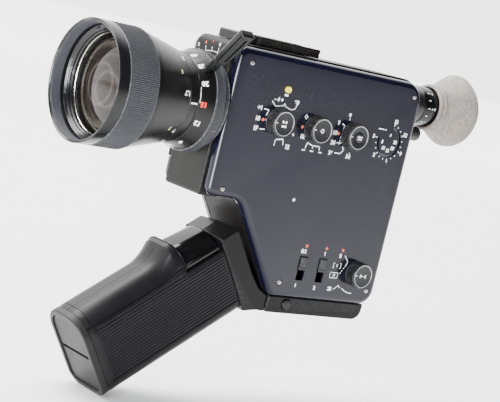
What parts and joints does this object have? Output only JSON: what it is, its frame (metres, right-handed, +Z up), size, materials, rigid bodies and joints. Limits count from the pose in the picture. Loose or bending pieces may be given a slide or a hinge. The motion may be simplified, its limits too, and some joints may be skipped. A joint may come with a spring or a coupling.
{
  "type": "cine camera",
  "caption": "Hand-held cine camera with a zoom lens, side control panel, opening film door, viewfinder and folding battery grip.",
  "frame": {"origin": "on the flat underside of the base block, where a tripod head meets it, in the middle plane of the body", "axes": "+X to the rear of the camera, -X along the lens, +Y to the film-door side, +Z up"},
  "size_m": [0.2743, 0.079, 0.2139],
  "materials": {
    "cover_black": "satin navy-black paint, finely textured",
    "housing_grey": "olive-grey fine-grained moulding",
    "frame_dark": "satin brown-black",
    "lens_black": "satin black anodised",
    "ring_grey": "grey anodised",
    "dial_black": "knurled, satin charcoal",
    "steel": "turned, bright",
    "brass": "cut gear",
    "grip_plastic": "fine-textured charcoal",
    "gloss_black": "polished",
    "cap_grey": "warm grey",
    "old_rubber": "aged and mottled",
    "optical_glass": "coated",
    "lamp_red": "clear red",
    "button_yellow": "satin",
    "print_white": "printed scale",
    "zinc": "die-cast, matt"
  },
  "bodies": {
    "camera_body": {"centre_frame": "frame_dark", "side_cover": "cover_black", "cover_screw_1": "steel", "cover_screw_2": "steel", "cover_screw_3": "steel", "cover_screw_4": "steel", "cover_screw_5": "steel", "front_housing": "housing_grey", "base_block": "grip_plastic", "tripod_bush": "steel", "fold_pin": "dial_black", "accessory_rail": "frame_dark", "lamp_housing": "frame_dark", "signal_lamp": "lamp_red", "lens_flange": "ring_grey", "lens_tube": "lens_black", "eyepiece_tube": "dial_black", "eyepiece_lens": "optical_glass", "door_hinge": "frame_dark", "film_bay": "frame_dark", "film_gate": "steel", "sound_head": "zinc", "motor": "zinc"},
    "focus_group": {"focus_barrel": "lens_black", "front_rim": "gloss_black", "front_lens": "optical_glass"},
    "zoom_group": {"zoom_ring": "lens_black", "zoom_lever": "gloss_black"},
    "mode_dial": {"mode_dial": "dial_black"},
    "frame_rate_dial": {"frame_rate_dial": "dial_black"},
    "exposure_dial": {"exposure_dial": "dial_black"},
    "sound_dial": {"sound_dial": "dial_black"},
    "battery_test_button": {"battery_test_button": "dial_black"},
    "timer_button": {"timer_button": "button_yellow"},
    "time_slider": {"time_slider": "dial_black"},
    "sound_slider": {"sound_slider": "dial_black"},
    "counter_disc": {"counter_disc": "print_white"},
    "diopter_ring": {"diopter_ring": "gloss_black"},
    "eyecup": {"eyecup": "old_rubber"},
    "finder_knob": {"finder_knob": "dial_black"},
    "grip": {"grip_bracket": "grip_plastic", "grip_left_shell": "grip_plastic", "grip_right_shell": "grip_plastic", "trigger_spring": "steel", "battery_carrier": "dial_black", "battery_cell_1": "zinc", "battery_cell_2": "zinc", "battery_cell_3": "zinc", "battery_cell_4": "zinc", "battery_cell_5": "zinc", "battery_cell_6": "zinc"},
    "trigger": {"trigger": "gloss_black"},
    "battery_cap": {"battery_cap": "cap_grey"},
    "film_door": {"film_door": "cover_black"},
    "door_latch": {"door_latch": "zinc"},
    "drive_gear": {"drive_gear": "brass", "capstan": "steel"},
    "motor_pinion": {"motor_pinion": "brass"},
    "take_up_spindle": {"take_up_spindle": "dial_black"},
    "shutter_disc": {"shutter_disc": "dial_black"}
  },
  "joints": [
    {"name": "focus_turn", "type": "hinge", "parent": "camera_body", "child": "focus_group", "pos_m": [-0.15, 0, 0.1107], "axis": [1, 0, 0], "range_deg": [-90, 170]},
    {"name": "zoom_turn", "type": "hinge", "parent": "camera_body", "child": "zoom_group", "pos_m": [-0.118, 0, 0.1107], "axis": [1, 0, 0], "range_deg": [-35, 60]},
    {"name": "mode_turn", "type": "hinge", "parent": "camera_body", "child": "mode_dial", "pos_m": [-0.0657, -0.026, 0.1097], "axis": [0, 1, 0], "range_deg": [-60, 120]},
    {"name": "frame_rate_turn", "type": "hinge", "parent": "camera_body", "child": "frame_rate_dial", "pos_m": [-0.0371, -0.026, 0.1097], "axis": [0, 1, 0], "range_deg": [-90, 90]},
    {"name": "exposure_turn", "type": "hinge", "parent": "camera_body", "child": "exposure_dial", "pos_m": [-0.0085, -0.026, 0.1097], "axis": [0, 1, 0], "range_deg": [-120, 120]},
    {"name": "sound_turn", "type": "hinge", "parent": "camera_body", "child": "sound_dial", "pos_m": [0.0214, -0.026, 0.02925], "axis": [0, 1, 0], "range_deg": [-135, 135]},
    {"name": "battery_test_push", "type": "slide", "parent": "exposure_dial", "child": "battery_test_button", "axis": [0, 1, 0], "range_m": [0, 0.0008], "stiffness_N_per_m": 400},
    {"name": "timer_push", "type": "slide", "parent": "camera_body", "child": "timer_button", "axis": [0, 1, 0], "range_m": [0, 0.0009], "stiffness_N_per_m": 400},
    {"name": "time_slide", "type": "slide", "parent": "camera_body", "child": "time_slider", "axis": [0, 0, -1], "range_m": [0, 0.0054]},
    {"name": "sound_slide", "type": "slide", "parent": "camera_body", "child": "sound_slider", "axis": [0, 0, -1], "range_m": [0, 0.0054]},
    {"name": "counter_turn", "type": "hinge", "parent": "camera_body", "child": "counter_disc", "pos_m": [0.0225, -0.0197, 0.1098], "axis": [0, 1, 0], "range_deg": [0, 270]},
    {"name": "diopter_turn", "type": "hinge", "parent": "camera_body", "child": "diopter_ring", "pos_m": [0.064, 0, 0.1334], "axis": [1, 0, 0], "range_deg": [-60, 60]},
    {"name": "eyecup_turn", "type": "hinge", "parent": "diopter_ring", "child": "eyecup", "pos_m": [0.07, 0, 0.1334], "axis": [1, 0, 0], "range_deg": [-180, 180]},
    {"name": "finder_turn", "type": "hinge", "parent": "camera_body", "child": "finder_knob", "pos_m": [0.05, -0.009, 0.1166], "axis": [1, 0, 0], "range_deg": [0, 90]},
    {"name": "grip_fold", "type": "hinge", "parent": "camera_body", "child": "grip", "pos_m": [-0.02295, 0, 0.0054], "axis": [0, -1, 0], "range_deg": [0, 135]},
    {"name": "trigger_pull", "type": "hinge", "parent": "grip", "child": "trigger", "pos_m": [-0.08026, 0, 0.03424], "axis": [0, -1, 0], "range_deg": [0, 5], "stiffness_Nm_per_rad": 0.8, "springref_deg": -2.86},
    {"name": "battery_cap_pull", "type": "slide", "parent": "grip", "child": "battery_cap", "axis": [-0.8192, 0, -0.5736], "range_m": [0, 0.012]},
    {"name": "film_door_swing", "type": "hinge", "parent": "camera_body", "child": "film_door", "pos_m": [-0.0992, 0.021, 0.105], "axis": [0, 0, 1], "range_deg": [0, 90]},
    {"name": "door_latch_slide", "type": "slide", "parent": "film_door", "child": "door_latch", "axis": [0, 0, -1], "range_m": [0, 0.0035], "stiffness_N_per_m": 60, "springref_m": -0.004},
    {"name": "drive_spin", "type": "hinge", "parent": "camera_body", "child": "drive_gear", "pos_m": [-0.044, 0, 0.052], "axis": [0, 1, 0], "continuous": true},
    {"name": "motor_spin", "type": "hinge", "parent": "camera_body", "child": "motor_pinion", "pos_m": [-0.028, 0, 0.052], "axis": [0, 1, 0], "continuous": true},
    {"name": "take_up_spin", "type": "hinge", "parent": "camera_body", "child": "take_up_spindle", "pos_m": [-0.017, 0, 0.075], "axis": [0, 1, 0], "continuous": true},
    {"name": "shutter_spin", "type": "hinge", "parent": "camera_body", "child": "shutter_disc", "pos_m": [-0.095, 0, 0.099], "axis": [1, 0, 0], "continuous": true}
  ],
  "couplings": [
    {"joint": "motor_spin", "follows": "drive_spin", "ratio": -3},
    {"joint": "take_up_spin", "follows": "drive_spin", "ratio": 0.5},
    {"joint": "shutter_spin", "follows": "drive_spin", "ratio": 2}
  ]
}
